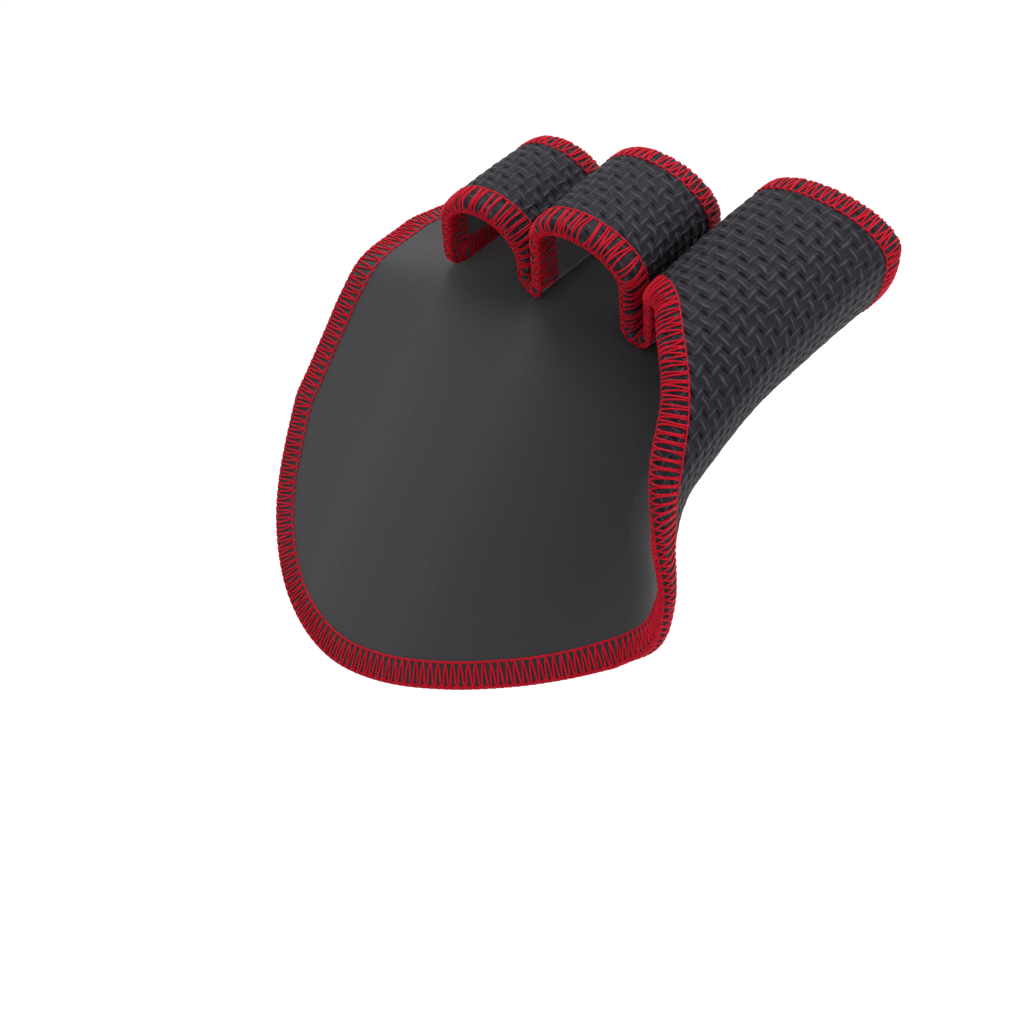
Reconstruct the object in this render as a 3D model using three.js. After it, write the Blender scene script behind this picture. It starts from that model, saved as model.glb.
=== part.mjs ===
// A weightlifting hand grip: one sheet of embossed neoprene that lies under the fingers and palm, turns up
// round the index finger's thumb side and comes back over the three fingers as loops, with an overlocked
// edge all round. It is for the left hand. X runs across the hand to the thumb side, Y along the fingers to
// their tips, Z out of the back of the hand.
import * as THREE from 'three';

// The sheet and its stitched edge, in mm
const sheetThickness = 3;
const valleyGap = 1.2; // between the strap's two faces where it turns down between fingers
const turnRounding = 0.4; // share of the room between two fingers that their turn's radius takes up
const sewGap = 0.3; // between the layers that the seams hold together
const bandWidth = 5.2; // stitched edge, from its inner rail to the sheet's cut edge
const threadThickness = 0.45; // layer of thread round the edge
const threadProud = 0.15; // how far the thread stands above the sheet's face
const threadGap = 0.3; // clearance between the thread layer and what it wraps

// Room for each finger, the strap's length along it and where its wrist-side edge starts
const ringRoom = 17.7;
const middleRoom = 19.9;
const indexRoom = 25.1;
const ringStrap = 30.3;
const middleStrap = 31.1;
const indexStrap = 37;
const ringStart = 1.9;

// The palm side
const palmReach = 80; // from the loops' wrist-side edge to the heel of the pad, along the palm
const palmSpan = 83; // across the pad, from under the index finger to the inner rail at the far side
const palmDepth = 30; // from the top of the middle loop to the pad under the index finger
const palmHollow = 5.3; // how far the pad rises from there to under the middle finger
const indexDepth = 19; // from the pad up to where the index loop's arch springs
const webReach = 46; // from the loops' wrist-side edge to the crotch of the thumb, beside the index finger

// Grid steps
const wallSteps = 3;
const archSteps = 14;
const turnSteps = 10;
const sideSteps = 9;
const palmSteps = 13;
const rowSteps = 11;

const half = sheetThickness / 2;
const radians = THREE.MathUtils.degToRad;
const alongFinger = new THREE.Vector3(0, 1, 0);

// One row for each loop. drop is how far its top lies below the middle loop's and crown the height of its
// arch, both as shares of its outer half width; pitch and roll tilt it, in degrees.
const loops = {
  ring: { room: ringRoom, strap: ringStrap, start: ringStart, drop: 0.66, crown: 0.89, pitch: -2, roll: 8 },
  middle: { room: middleRoom, strap: middleStrap, start: 0, drop: 0, crown: 0.695, pitch: 0.9, roll: 5.2 },
  index: { room: indexRoom, crown: 0.514 },
};
const fingerBow = 0.0027; // how the strap's top curves down towards the finger tips, per mm
for (const loop of Object.values(loops)) {
  loop.outer = loop.room / 2 + sheetThickness;
  loop.across = loop.outer - half; // half width of the sheet's middle surface
  loop.rise = loop.crown * loop.outer - half;
  loop.top = -loop.drop * loop.outer;
}
loops.middle.x = 0;
loops.ring.x = -(loops.middle.outer + loops.ring.outer + valleyGap);
loops.index.x = loops.middle.outer + loops.index.outer + valleyGap;

// The pad's line along the hand. Lengths are shares of palmReach on the wrist's side of the loops and of
// indexStrap on the finger tips' side; lean turns the section planes, in degrees, and lift raises the index
// finger's side.
const heelLine = [
  { at: -1.06, y: -0.775, z: -0.725, lean: 42, lift: 0 },
  { at: -0.75, y: -0.575, z: -0.512, lean: 42, lift: 0 },
  { at: -0.5, y: -0.4, z: -0.312, lean: 40, lift: 0 },
  { at: -0.375, y: -0.304, z: -0.2225, lean: 34, lift: 0 },
  { at: -0.25, y: -0.209, z: -0.1375, lean: 25, lift: 0 },
  { at: -0.125, y: -0.11, z: -0.0575, lean: 12, lift: 0 },
  { at: 0, y: 0, z: 0, lean: 0, lift: 0.007 },
];
const fingerLine = [
  { at: 0.32, y: 0.32, z: -0.022, lean: 0, lift: 0.09 },
  { at: 0.66, y: 0.66, z: -0.064, lean: 0, lift: 0.172 },
  { at: 1, y: 1, z: -0.115, lean: 0, lift: 0.237 },
  { at: 1.16, y: 1.16, z: -0.141, lean: 0, lift: 0.263 },
];
// Across the pad: x as shares of palmSpan from the middle finger, rise as shares of palmHollow, and the
// share of the lift that each place takes
const camber = [
  { x: -0.747, rise: -1.7, lift: 0 },
  { x: -0.627, rise: -1.27, lift: 0 },
  { x: -0.458, rise: -0.57, lift: 0 },
  { x: -0.313, rise: 0.1, lift: 0 },
  { x: -0.157, rise: 0.62, lift: 0 },
  { x: 0, rise: 0.97, lift: 0.04 },
  { x: 0.169, rise: 0.76, lift: 0.45 },
  { x: 0.35, rise: 0.1, lift: 1 },
  { x: 0.458, rise: 0, lift: 1.06 },
  { x: 0.6, rise: 0, lift: 1.06 },
];
// The index loop along the hand: at as in the two lines above, x as shares of its outer half width from
// where it starts, depth as shares of indexDepth
const indexLine = [
  { at: -1.06, x: 0.42, depth: 0.74 },
  { at: -0.6, x: 0.48, depth: 0.87 },
  { at: -0.45, x: 0.24, depth: 0.93 },
  { at: -0.35, x: -0.05, depth: 0.97 },
  { at: -0.25, x: -0.18, depth: 1 },
  { at: -0.15, x: -0.115, depth: 0.98 },
  { at: 0, x: 0, depth: 0.96 },
  { at: 0.48, x: 0.186, depth: 1 },
  { at: 1, x: 0.38, depth: 1.026 },
  { at: 1.16, x: 0.44, depth: 1.03 },
];
// The inner rail of the wrist-side edge round the index finger: turn is the angle round the loop, from 180
// at the middle finger over 90 on top to -90 at the pad, and near is in shares of webReach
const indexRail = [
  { turn: -90, near: -1 },
  { turn: -60, near: -0.875 },
  { turn: -30, near: -0.685 },
  { turn: 0, near: -0.475 },
  { turn: 30, near: -0.326 },
  { turn: 60, near: -0.196 },
  { turn: 90, near: -0.087 },
  { turn: 120, near: 0.026 },
  { turn: 150, near: 0.0885 },
  { turn: 180, near: 0.113 },
];
// The inner rail round the pad: across as shares of palmSpan from under the index finger, near in shares
// of palmReach and far in shares of indexStrap
const padRail = [
  { part: 0, nearAcross: 0, near: -0.575, farAcross: 0, far: 0.8595 },
  { part: 0.12, nearAcross: 0.105, near: -0.665, farAcross: 0.11, far: 0.855 },
  { part: 0.25, nearAcross: 0.225, near: -0.76, farAcross: 0.24, far: 0.85 },
  { part: 0.4, nearAcross: 0.36, near: -0.85, farAcross: 0.39, far: 0.84 },
  { part: 0.55, nearAcross: 0.51, near: -0.92, farAcross: 0.55, far: 0.825 },
  { part: 0.68, nearAcross: 0.65, near: -0.94, farAcross: 0.69, far: 0.81 },
  { part: 0.8, nearAcross: 0.79, near: -0.89, farAcross: 0.81, far: 0.79 },
  { part: 0.89, nearAcross: 0.89, near: -0.79, farAcross: 0.9, far: 0.75 },
  { part: 0.95, nearAcross: 0.955, near: -0.66, farAcross: 0.96, far: 0.66 },
  { part: 1, nearAcross: 1, near: -0.45, farAcross: 1, far: 0.42 },
];

const reach = (at) => at * (at < 0 ? palmReach : indexStrap);
const handLine = [...heelLine, ...fingerLine].map((row) => ({
  at: reach(row.at),
  y: row.y * (row.at < 0 ? palmReach : indexStrap),
  z: row.z * (row.at < 0 ? palmReach : indexStrap),
  lean: row.lean,
  lift: row.lift * indexStrap,
}));
const indexRows = indexLine.map((row) => ({ ...row, at: reach(row.at) }));
const camberRows = camber.map((row) => ({ ...row, x: row.x * palmSpan, rise: row.rise * palmHollow }));

// Smooth curve through a table's rows
function along(rows, key, column, value) {
  const last = rows.length - 1;
  let i = 0;
  while (i < last - 1 && value > rows[i + 1][key]) i += 1;
  const slope = (a, b) => (rows[b][column] - rows[a][column]) / (rows[b][key] - rows[a][key]);
  const tangent = (k) => slope(Math.max(k - 1, 0), Math.min(k + 1, last));
  const step = rows[i + 1][key] - rows[i][key];
  const t = (value - rows[i][key]) / step;
  if (t < 0) return rows[i][column] + tangent(i) * (value - rows[i][key]);
  if (t > 1) return rows[i + 1][column] + tangent(i + 1) * (value - rows[i + 1][key]);
  const t2 = t * t;
  const t3 = t2 * t;
  return (2 * t3 - 3 * t2 + 1) * rows[i][column] + (t3 - 2 * t2 + t) * step * tangent(i)
    + (3 * t2 - 2 * t3) * rows[i + 1][column] + (t3 - t2) * step * tangent(i + 1);
}

// The pad's middle surface at x across and station at along the hand, and the way up out of the pad there
function upAt(at) {
  const lean = radians(along(handLine, 'at', 'lean', at));
  return new THREE.Vector3(0, -Math.sin(lean), Math.cos(lean));
}
function pad(x, at) {
  const line = (column) => along(handLine, 'at', column, at);
  const lift = line('lift') * along(camberRows, 'x', 'lift', x);
  const point = new THREE.Vector3(x, line('y'), line('z') - palmDepth);
  return point.addScaledVector(upAt(at), along(camberRows, 'x', 'rise', x) + lift);
}

// The ring and middle loops: a point dx across and dz above where the arch springs
function loopPoint(loop, dx, dz, at) {
  const y = loop.start + loop.strap * at / indexStrap;
  const spring = loop.top - half - loop.rise + Math.tan(radians(loop.pitch)) * y - fingerBow * y * y;
  const offset = new THREE.Vector3(dx, 0, dz).applyAxisAngle(alongFinger, radians(loop.roll));
  return offset.add(new THREE.Vector3(loop.x, y, spring));
}
function arch(loop, share, at) {
  const turn = Math.PI * (1 - share);
  return loopPoint(loop, loop.across * Math.cos(turn), loop.rise * Math.sin(turn), at);
}

// The index loop stands on the pad; its turn runs from 180 degrees at the middle finger to -90 at the pad
function indexFoot(at) {
  return pad(loops.index.x + loops.index.outer * along(indexRows, 'at', 'x', at), at);
}
function indexTurn(turn, at) {
  const foot = indexFoot(at);
  const up = upAt(at);
  const depth = indexDepth * along(indexRows, 'at', 'depth', at);
  const angle = radians(turn);
  const height = depth + (turn > 0 ? loops.index.rise : depth) * Math.sin(angle);
  foot.x += loops.index.across * Math.cos(angle);
  return foot.addScaledVector(up, height);
}
const indexArch = (share, at) => indexTurn(180 * (1 - share), at);
const indexSide = (share, at) => indexTurn(-90 * share, at);

// The turn between two fingers: the strap's walls come down, run flat on the pad and go up again
function valley(left, right, share, at) {
  const from = left(at);
  const to = right(at);
  const tightest = (sheetThickness + valleyGap) / 2;
  const centre = (from.x + to.x) / 2;
  const across = Math.max(tightest, (to.x - from.x) / 2);
  const radius = tightest + (across - tightest) * turnRounding;
  const turn = Math.PI * share;
  const flat = (across - radius) * THREE.MathUtils.clamp((share - 0.5) * turnSteps, -1, 1);
  const aside = flat - radius * Math.cos(turn);
  const y = from.y + (to.y - from.y) * (1 + aside / across) / 2;
  const under = Math.max(...[-across, 0, across].map((dx) => pad(centre + dx, y).z));
  const bottom = under + sheetThickness + sewGap + threadProud;
  return new THREE.Vector3(centre + aside, y, bottom + radius * (1 - Math.sin(turn)));
}
const ringArch = (share, at) => arch(loops.ring, share, at);
const ringLeft = (at) => ringArch(0, at);
const ringRight = (at) => ringArch(1, at);
const middleArch = (share, at) => arch(loops.middle, share, at);
const middleLeft = (at) => middleArch(0, at);
const middleRight = (at) => middleArch(1, at);
const indexLeft = (at) => indexArch(0, at);
const ringValley = (share, at) => valley(ringRight, middleLeft, share, at);
const ringTurnStart = (at) => ringValley(0, at);
const ringTurnEnd = (at) => ringValley(1, at);
const indexValley = (share, at) => valley(middleRight, indexLeft, share, at);
const indexTurnStart = (at) => indexValley(0, at);
const indexTurnEnd = (at) => indexValley(1, at);

// The strap's sewn end stands on the pad between the ring and little fingers: here its inner rail
function strapEnd(at) {
  const top = ringLeft(at);
  const under = Math.max(...[-half, 0, half].map((dx) => pad(top.x + dx, top.y).z));
  const foot = new THREE.Vector3(top.x, top.y, under + half + sewGap + threadProud);
  return foot.lerp(top, bandWidth / foot.distanceTo(top));
}
const wall = (lower, upper) => (share, at) => lower(at).lerp(upper(at), share);

// The inner rail's stations on the wrist's side; on the finger tips' side it runs as far from that edge
const ringNear = () => bandWidth * indexStrap / ringStrap;
const middleNear = () => bandWidth * indexStrap / middleStrap;
const indexNear = (turn) => webReach * along(indexRail, 'turn', 'near', turn);
const overIndex = (share) => indexNear(180 * (1 - share));
const besideIndex = (share) => indexNear(-90 * share);
const between = (from, to) => (share) => from() + (to() - from()) * share;
const straight = () => bandWidth;

function padAcross(share, at) {
  const foot = indexFoot(at).x;
  const outer = loops.index.x - palmSpan;
  return pad(foot + (outer - foot) * share, at);
}

// The section's stretches in order, from the strap's sewn end over the fingers and back under them. near is
// the inner rail's station on the wrist's side, far how far from the finger tips' edge it runs there.
const stretches = [
  { name: 'ringOuterWall', steps: wallSteps, point: wall(strapEnd, ringLeft), near: ringNear },
  { name: 'ringArch', steps: archSteps, point: ringArch, near: ringNear },
  { name: 'ringInnerWall', steps: wallSteps, point: wall(ringRight, ringTurnStart), near: ringNear },
  { name: 'ringValley', steps: turnSteps, point: ringValley, near: between(ringNear, middleNear) },
  { name: 'middleRingWall', steps: wallSteps, point: wall(ringTurnEnd, middleLeft), near: middleNear },
  { name: 'middleArch', steps: archSteps, point: middleArch, near: middleNear },
  { name: 'middleIndexWall', steps: wallSteps, point: wall(middleRight, indexTurnStart), near: middleNear },
  { name: 'indexValley', steps: turnSteps, point: indexValley, near: between(middleNear, straight) },
  { name: 'indexWall', steps: wallSteps, point: wall(indexTurnEnd, indexLeft), near: straight },
  { name: 'indexArch', steps: archSteps, point: indexArch, near: overIndex, far: straight },
  { name: 'indexSide', steps: sideSteps, point: indexSide, near: besideIndex, far: straight },
  { name: 'pad', steps: palmSteps, point: padAcross },
];
let length = 0;
for (const stretch of stretches) {
  stretch.from = length;
  const station = indexStrap / 2;
  let last = stretch.point(0, station);
  for (let i = 1; i <= stretch.steps; i += 1) {
    const next = stretch.point(i / stretch.steps, station);
    length += last.distanceTo(next);
    last = next;
  }
  stretch.length = length - stretch.from;
}
const stretchNamed = Object.fromEntries(stretches.map((stretch) => [stretch.name, stretch]));

// The sheet's middle surface: run is the length round the section, at the station along the hand
function surface(run, at) {
  let k = 0;
  while (k < stretches.length - 1 && run > stretches[k + 1].from) k += 1;
  return stretches[k].point((run - stretches[k].from) / stretches[k].length, at);
}
function frameAt(run, at) {
  const step = 0.2;
  const alongRun = surface(run + step, at).sub(surface(run - step, at)).divideScalar(2 * step);
  const alongHand = surface(run, at + step).sub(surface(run, at - step)).divideScalar(2 * step);
  const normal = new THREE.Vector3().crossVectors(alongRun, alongHand).normalize(); // away from the fingers
  return { alongRun, alongHand, normal };
}
const offPoint = (run, at, height) => surface(run, at).addScaledVector(frameAt(run, at).normal, height);

// Where the inner rail crosses a column of the grid: its wrist-side and its finger-tip end
function railEnds(stretch, share) {
  const runAt = (part) => stretch.from + stretch.length * part;
  if (stretch !== stretchNamed.pad) {
    const { near, far = near } = stretch;
    return [{ run: runAt(share), at: near(share) }, { run: runAt(share), at: indexStrap - far(share) }];
  }
  const row = (column) => along(padRail, 'part', column, share);
  return [
    { run: runAt(row('nearAcross')), at: palmReach * row('near') },
    { run: runAt(row('farAcross')), at: indexStrap * row('far') },
  ];
}

// The grid inside the rail, as columns of surface places
const columns = [];
let straightColumns = 0; // those before the index loop's arch, where the rim goes straight on
for (const stretch of stretches) {
  if (stretch === stretchNamed.indexArch) straightColumns = columns.length;
  for (let i = stretch === stretches[0] ? 0 : 1; i <= stretch.steps; i += 1) {
    const [near, far] = railEnds(stretch, i / stretch.steps);
    const column = [];
    for (let j = 0; j <= rowSteps; j += 1) {
      const share = j / rowSteps;
      const run = near.run + (far.run - near.run) * share;
      column.push({ run, at: near.at + (far.at - near.at) * share });
    }
    columns.push(column);
  }
}

// The rail as one closed loop of grid places, and the way outwards from each of its corners
const lastColumn = columns.length - 1;
const rail = [];
for (let i = 0; i < lastColumn; i += 1) rail.push({ i, j: 0 });
for (let j = 0; j < rowSteps; j += 1) rail.push({ i: lastColumn, j });
for (let i = lastColumn; i > 0; i -= 1) rail.push({ i, j: rowSteps });
for (let j = rowSteps; j > 0; j -= 1) rail.push({ i: 0, j });
const placeOf = (corner) => columns[corner.i][corner.j];

function outwards(k) {
  const here = placeOf(rail[k]);
  const before = placeOf(rail[(k + rail.length - 1) % rail.length]);
  const after = placeOf(rail[(k + 1) % rail.length]);
  const { alongRun, alongHand, normal } = frameAt(here.run, here.at);
  const side = (from, to) => {
    const way = alongRun.clone().multiplyScalar(to.run - from.run);
    return way.addScaledVector(alongHand, to.at - from.at).cross(normal).normalize();
  };
  const a = side(before, here);
  const b = side(here, after);
  if (rail[k].i < straightColumns) {
    const endSide = rail[k].j === 0 ? a : b;
    const handSide = rail[k].j === 0 ? b : a;
    return {
      run: rail[k].i === 0 ? 1 / alongRun.dot(endSide) : 0,
      at: rail[k].j % rowSteps === 0 ? 1 / alongHand.dot(handSide) : 0,
    };
  }
  const mitre = a.clone().add(b).divideScalar(1 + a.dot(b));
  const rr = alongRun.dot(alongRun);
  const rh = alongRun.dot(alongHand);
  const hh = alongHand.dot(alongHand);
  const mr = mitre.dot(alongRun);
  const mh = mitre.dot(alongHand);
  const scale = rr * hh - rh * rh;
  return { run: (mr * hh - mh * rh) / scale, at: (mh * rr - mr * rh) / scale };
}
const ways = rail.map((corner, k) => outwards(k));
function edgePoint(k, distance, height) {
  const here = placeOf(rail[k]);
  return offPoint(here.run + ways[k].run * distance, here.at + ways[k].at * distance, height);
}

// Geometry from quads between numbered points
function quadGeometry(points, quads) {
  const geometry = new THREE.BufferGeometry();
  geometry.setFromPoints(points);
  geometry.setIndex(quads.flatMap(([a, b, c, d]) => [a, b, c, a, c, d]));
  geometry.computeVertexNormals();
  return geometry;
}

// The sheet: two faces over the grid, joined round the rail by the thinner rim that the thread wraps
function sheetGeometry() {
  const rimHalf = half + threadProud - threadThickness - threadGap;
  const rimWidth = bandWidth - threadThickness - threadGap;
  const points = [];
  const quads = [];
  const number = (point) => points.push(point) - 1;
  const outer = columns.map((column) => column.map((p) => number(offPoint(p.run, p.at, half))));
  const inner = columns.map((column) => column.map((p) => number(offPoint(p.run, p.at, -half))));
  for (let i = 0; i < lastColumn; i += 1) {
    for (let j = 0; j < rowSteps; j += 1) {
      quads.push([outer[i][j], outer[i + 1][j], outer[i + 1][j + 1], outer[i][j + 1]]);
      quads.push([inner[i][j], inner[i][j + 1], inner[i + 1][j + 1], inner[i + 1][j]]);
    }
  }
  const rims = rail.map((corner, k) => [
    outer[corner.i][corner.j],
    number(edgePoint(k, 0, rimHalf)),
    number(edgePoint(k, rimWidth, rimHalf)),
    number(edgePoint(k, rimWidth, -rimHalf)),
    number(edgePoint(k, 0, -rimHalf)),
    inner[corner.i][corner.j],
  ]);
  rims.forEach((rim, k) => {
    const next = rims[(k + 1) % rims.length];
    for (let m = 0; m < rim.length - 1; m += 1) quads.push([rim[m], rim[m + 1], next[m + 1], next[m]]);
  });
  return quadGeometry(points, quads);
}

// The overlocked edge: a layer of thread over both faces of the rim and round its cut edge
function edgingGeometry() {
  const top = half + threadProud;
  const under = top - threadThickness;
  const web = bandWidth - threadThickness;
  const profile = [
    [threadGap, top], [bandWidth, top], [bandWidth, -top], [threadGap, -top],
    [threadGap, -under], [web, -under], [web, under], [threadGap, under],
  ];
  const count = profile.length;
  const points = rail.flatMap((corner, k) => profile.map((place) => edgePoint(k, ...place)));
  const quads = [];
  rail.forEach((corner, k) => {
    const here = k * count;
    const next = ((k + 1) % rail.length) * count;
    for (let m = 0; m < count; m += 1) {
      const n = (m + 1) % count;
      quads.push([here + n, next + n, next + m, here + m]);
    }
  });
  return quadGeometry(points, quads);
}

const neoprene = new THREE.MeshStandardMaterial({ color: 0x34323a, roughness: 0.75, metalness: 0 });
const redThread = new THREE.MeshStandardMaterial({ color: 0xc81430, roughness: 0.6, metalness: 0 });

const sheet = new THREE.Mesh(sheetGeometry(), neoprene);
sheet.name = 'grip_sheet';
const edging = new THREE.Mesh(edgingGeometry(), redThread);
edging.name = 'overlock_edging';

// The origin is the middle finger's seat: the inner face at the top of its loop, half way along
const middleTop = stretchNamed.middleArch.from + stretchNamed.middleArch.length / 2;
const seat = offPoint(middleTop, indexStrap / 2, -half);
const grip = new THREE.Group();
grip.name = 'hand_grip';
grip.add(sheet, edging);
grip.position.copy(seat).negate();

export default grip;
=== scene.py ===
import math

import bmesh
import bpy
import numpy as np
from mathutils import Matrix, Vector


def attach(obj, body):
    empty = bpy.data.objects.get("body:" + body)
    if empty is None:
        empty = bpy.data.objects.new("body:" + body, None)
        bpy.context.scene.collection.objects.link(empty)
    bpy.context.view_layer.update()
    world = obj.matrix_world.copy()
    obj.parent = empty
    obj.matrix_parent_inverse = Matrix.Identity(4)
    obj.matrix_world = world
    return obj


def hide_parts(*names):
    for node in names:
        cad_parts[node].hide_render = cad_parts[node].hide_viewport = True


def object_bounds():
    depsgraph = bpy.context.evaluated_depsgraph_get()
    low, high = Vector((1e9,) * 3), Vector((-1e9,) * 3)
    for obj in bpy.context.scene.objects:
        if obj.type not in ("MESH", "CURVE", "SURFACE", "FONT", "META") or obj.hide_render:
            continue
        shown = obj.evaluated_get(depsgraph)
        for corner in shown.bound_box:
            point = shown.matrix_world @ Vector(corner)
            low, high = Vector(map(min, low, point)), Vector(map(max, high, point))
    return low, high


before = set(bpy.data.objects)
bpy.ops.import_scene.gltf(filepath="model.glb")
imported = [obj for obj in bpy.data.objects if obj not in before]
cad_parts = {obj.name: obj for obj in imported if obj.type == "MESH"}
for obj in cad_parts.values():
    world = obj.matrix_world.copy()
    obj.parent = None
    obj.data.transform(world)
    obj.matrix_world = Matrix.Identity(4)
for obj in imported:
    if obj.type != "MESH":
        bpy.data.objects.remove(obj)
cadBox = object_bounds()
mm = 0.001

# The grip's sheet in millimetres, as the CAD builds it. Tables hold one list for each column.
grip = {
    "sheetThickness": 3.0,
    "valleyGap": 1.2,
    "turnRounding": 0.4,
    "sewGap": 0.3,
    "threadProud": 0.15,
    "bandWidth": 5.2,
    "ringStart": 1.9,
    "ringStrap": 30.3,
    "middleStrap": 31.1,
    "indexStrap": 37.0,
    "palmReach": 80.0,
    "palmSpan": 83.0,
    "palmDepth": 30.0,
    "palmHollow": 5.3,
    "indexDepth": 19.0,
    "webReach": 46.0,
    "fingerBow": 0.0027,
}
half = grip["sheetThickness"] / 2
band = grip["bandWidth"]
strap = grip["indexStrap"]


def table(**columns):
    return {name: np.array(values, float) for name, values in columns.items()}


def loop(room, width, start, drop, crown, pitch, roll):
    outer = room / 2 + grip["sheetThickness"]
    return {
        "outer": outer,
        "across": outer - half,
        "rise": crown * outer - half,
        "top": -drop * outer,
        "width": width,
        "start": start,
        "pitch": math.tan(math.radians(pitch)),
        "roll": math.radians(roll),
        "x": 0.0,
    }


# millimetres, but drop and crown are shares of the outer half width, and pitch and roll are degrees
ringLoop = loop(
    room=17.7, width=grip["ringStrap"], start=grip["ringStart"], drop=0.66, crown=0.89, pitch=-2, roll=8
)
middleLoop = loop(room=19.9, width=grip["middleStrap"], start=0, drop=0, crown=0.695, pitch=0.9, roll=5.2)
indexLoop = loop(room=25.1, width=strap, start=0, drop=0, crown=0.514, pitch=0, roll=0)
ringLoop["x"] = -(middleLoop["outer"] + ringLoop["outer"] + grip["valleyGap"])
indexLoop["x"] = middleLoop["outer"] + indexLoop["outer"] + grip["valleyGap"]

# along the loops: shares of palmReach towards the near edge, of indexStrap towards the far edge
handLine = table(
    at=[-1.06, -0.75, -0.5, -0.375, -0.25, -0.125, 0, 0.32, 0.66, 1, 1.16],
    y=[-0.775, -0.575, -0.4, -0.304, -0.209, -0.11, 0, 0.32, 0.66, 1, 1.16],
    z=[-0.725, -0.512, -0.312, -0.2225, -0.1375, -0.0575, 0, -0.022, -0.064, -0.115, -0.141],
    lean=[42, 42, 40, 34, 25, 12, 0, 0, 0, 0, 0],
    lift=[0, 0, 0, 0, 0, 0, 0.007, 0.09, 0.172, 0.237, 0.263],
)
camber = table(
    x=[-0.747, -0.627, -0.458, -0.313, -0.157, 0, 0.169, 0.35, 0.458, 0.6],
    rise=[-1.7, -1.27, -0.57, 0.1, 0.62, 0.97, 0.76, 0.1, 0, 0],
    lift=[0, 0, 0, 0, 0, 0.04, 0.45, 1, 1.06, 1.06],
)
indexLine = table(
    at=[-1.06, -0.6, -0.45, -0.35, -0.25, -0.15, 0, 0.48, 1, 1.16],
    x=[0.42, 0.48, 0.24, -0.05, -0.18, -0.115, 0, 0.186, 0.38, 0.44],
    depth=[0.74, 0.87, 0.93, 0.97, 1, 0.98, 0.96, 1, 1.026, 1.03],
)
indexRail = table(
    turn=[-90, -60, -30, 0, 30, 60, 90, 120, 150, 180],
    near=[-1, -0.875, -0.685, -0.475, -0.326, -0.196, -0.087, 0.026, 0.0885, 0.113],
)
padRail = table(
    part=[0, 0.12, 0.25, 0.4, 0.55, 0.68, 0.8, 0.89, 0.95, 1],
    nearAcross=[0, 0.105, 0.225, 0.36, 0.51, 0.65, 0.79, 0.89, 0.955, 1],
    near=[-0.575, -0.665, -0.76, -0.85, -0.92, -0.94, -0.89, -0.79, -0.66, -0.45],
    farAcross=[0, 0.11, 0.24, 0.39, 0.55, 0.69, 0.81, 0.9, 0.96, 1],
    far=[0.8595, 0.855, 0.85, 0.84, 0.825, 0.81, 0.79, 0.75, 0.66, 0.42],
)


def reach(shares):
    return np.where(shares < 0, shares * grip["palmReach"], shares * strap)


for column in ("z", "y"):
    handLine[column] = np.where(handLine["at"] < 0, grip["palmReach"], strap) * handLine[column]
handLine["lift"] *= strap
handLine["at"] = reach(handLine["at"])
indexLine["at"] = reach(indexLine["at"])
camber["x"] *= grip["palmSpan"]
camber["rise"] *= grip["palmHollow"]


def along(rows, key, column, value):
    # smooth curve through a table's rows, straight beyond its ends
    x, y = rows[key], rows[column]
    last = len(x) - 1
    value = np.asarray(value, float)
    i = np.clip(np.searchsorted(x, value) - 1, 0, last - 1)
    before, after = np.maximum(np.arange(last + 1) - 1, 0), np.minimum(np.arange(last + 1) + 1, last)
    slope = (y[after] - y[before]) / (x[after] - x[before])
    step = x[i + 1] - x[i]
    free = (value - x[i]) / step
    t = np.clip(free, 0, 1)
    curve = (2 * t**3 - 3 * t**2 + 1) * y[i] + (t**3 - 2 * t**2 + t) * step * slope[i]
    curve += (3 * t**2 - 2 * t**3) * y[i + 1] + (t**3 - t**2) * step * slope[i + 1]
    return curve + np.where(free < 0, slope[i], slope[i + 1]) * (free - t) * step


def points(x, y, z):
    return np.stack(np.broadcast_arrays(x, y, z), -1).astype(float)


def upAt(at):
    lean = np.radians(along(handLine, "at", "lean", at))
    return points(0 * lean, -np.sin(lean), np.cos(lean))


def pad(x, at):
    lift = along(handLine, "at", "lift", at) * along(camber, "x", "lift", x)
    rise = along(camber, "x", "rise", x) + lift
    line = points(x, along(handLine, "at", "y", at), along(handLine, "at", "z", at) - grip["palmDepth"])
    return line + upAt(at) * rise[..., None]


def arch(shape, share, at):
    turn = np.pi * (1 - share)
    dx, dz = shape["across"] * np.cos(turn), shape["rise"] * np.sin(turn)
    y = shape["start"] + shape["width"] * at / strap
    spring = shape["top"] - half - shape["rise"] + shape["pitch"] * y - grip["fingerBow"] * y * y
    c, s = math.cos(shape["roll"]), math.sin(shape["roll"])
    return points(shape["x"] + dx * c + dz * s, y, spring + dz * c - dx * s)


def indexFoot(at):
    return pad(indexLoop["x"] + indexLoop["outer"] * along(indexLine, "at", "x", at), at)


def indexTurn(turn, at):
    angle = np.radians(turn)
    depth = grip["indexDepth"] * along(indexLine, "at", "depth", at)
    height = depth + np.where(turn > 0, indexLoop["rise"], depth) * np.sin(angle)
    foot = indexFoot(at) + upAt(at) * height[..., None]
    foot[..., 0] += indexLoop["across"] * np.cos(angle)
    return foot


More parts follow.
